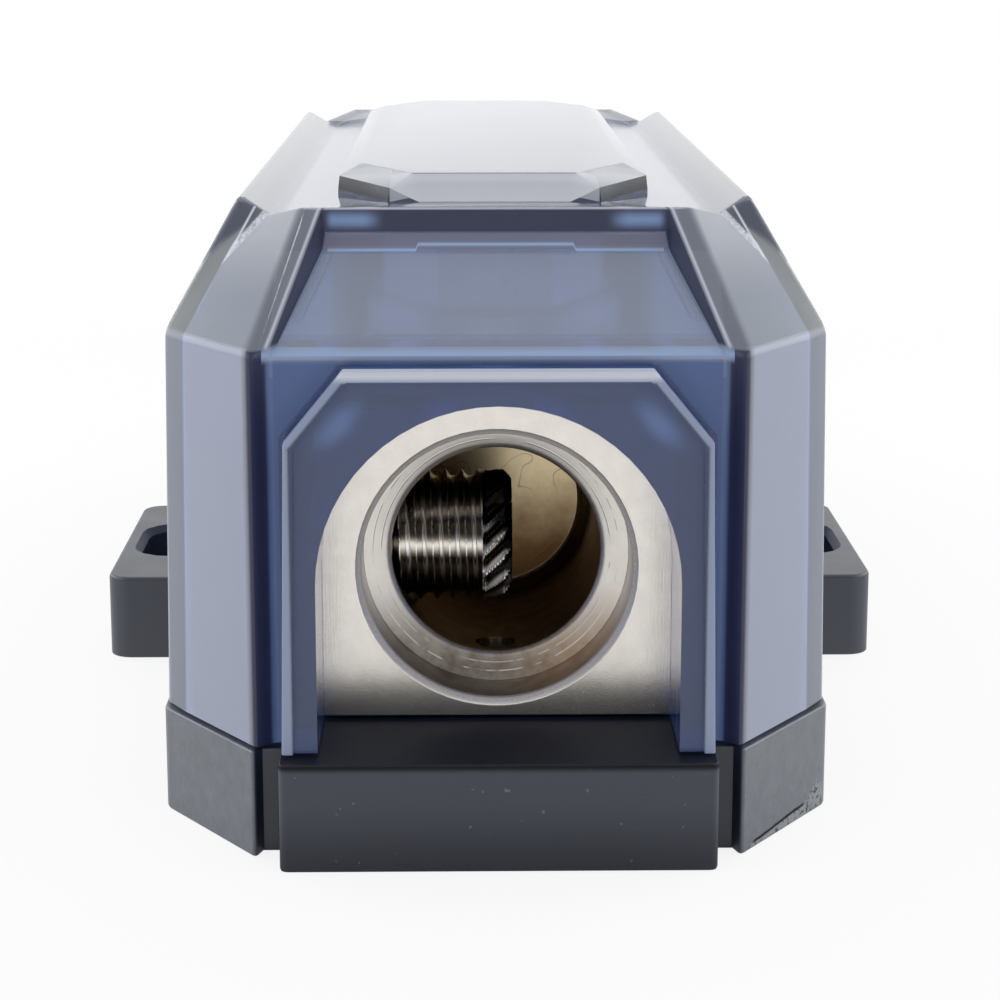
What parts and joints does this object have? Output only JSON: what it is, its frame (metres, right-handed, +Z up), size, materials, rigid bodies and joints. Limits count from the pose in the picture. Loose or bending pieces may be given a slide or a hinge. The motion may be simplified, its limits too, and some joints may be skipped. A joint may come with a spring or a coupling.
{
  "type": "anl fuse holder",
  "caption": "Inline fuse holder: black moulded base with slotted ears, smoke-tinted lift-off cover with arched cable hoods, and plated terminal blocks joined by a bolted fuse.",
  "frame": {"origin": "middle of the base's underside, level with the mounting ears", "axes": "+Y along the length from the front cable entry to the rear one, +X across the ears, +Z up through the cover"},
  "size_m": [0.0552, 0.112, 0.037],
  "materials": {
    "base_plastic": "fine satin moulded black",
    "smoke_cover": "translucent smoke blue, smooth inside and lightly frosted outside",
    "plated_block": "satin nickel plate",
    "clamp_steel": "bright turned steel, lightly darkened",
    "bolt_steel": "bright zinc",
    "small_screw_steel": "bright zinc",
    "fuse_metal": "bright plated strip",
    "fuse_plastic": "moulded black",
    "fuse_pane": "clear pane"
  },
  "bodies": {
    "holder": {"base_tray": "base_plastic", "front_terminal_block": "plated_block", "rear_terminal_block": "plated_block", "front_fuse_bolt": "bolt_steel", "rear_fuse_bolt": "bolt_steel", "front_flat_washer": "bolt_steel", "rear_flat_washer": "bolt_steel", "front_block_screw": "small_screw_steel", "rear_block_screw": "small_screw_steel", "fuse_link": "fuse_metal", "fuse_body_lower": "fuse_plastic", "fuse_body_upper": "fuse_plastic", "fuse_window": "fuse_pane", "fuse_rivet_1": "small_screw_steel", "fuse_rivet_2": "small_screw_steel", "fuse_rivet_3": "small_screw_steel", "fuse_rivet_4": "small_screw_steel"},
    "cover": {"clear_cover": "smoke_cover"},
    "front_clamp_screw": {"front_set_screw": "clamp_steel"},
    "rear_clamp_screw": {"rear_set_screw": "clamp_steel"}
  },
  "joints": [
    {"name": "cover_lift", "type": "slide", "parent": "holder", "child": "cover", "axis": [0, 0, 1], "range_m": [0, 0.045]},
    {"name": "front_clamp_travel", "type": "slide", "parent": "holder", "child": "front_clamp_screw", "axis": [1, 0, 0], "range_m": [-0.006, 0.004]},
    {"name": "rear_clamp_travel", "type": "slide", "parent": "holder", "child": "rear_clamp_screw", "axis": [-1, 0, 0], "range_m": [-0.006, 0.004]}
  ]
}
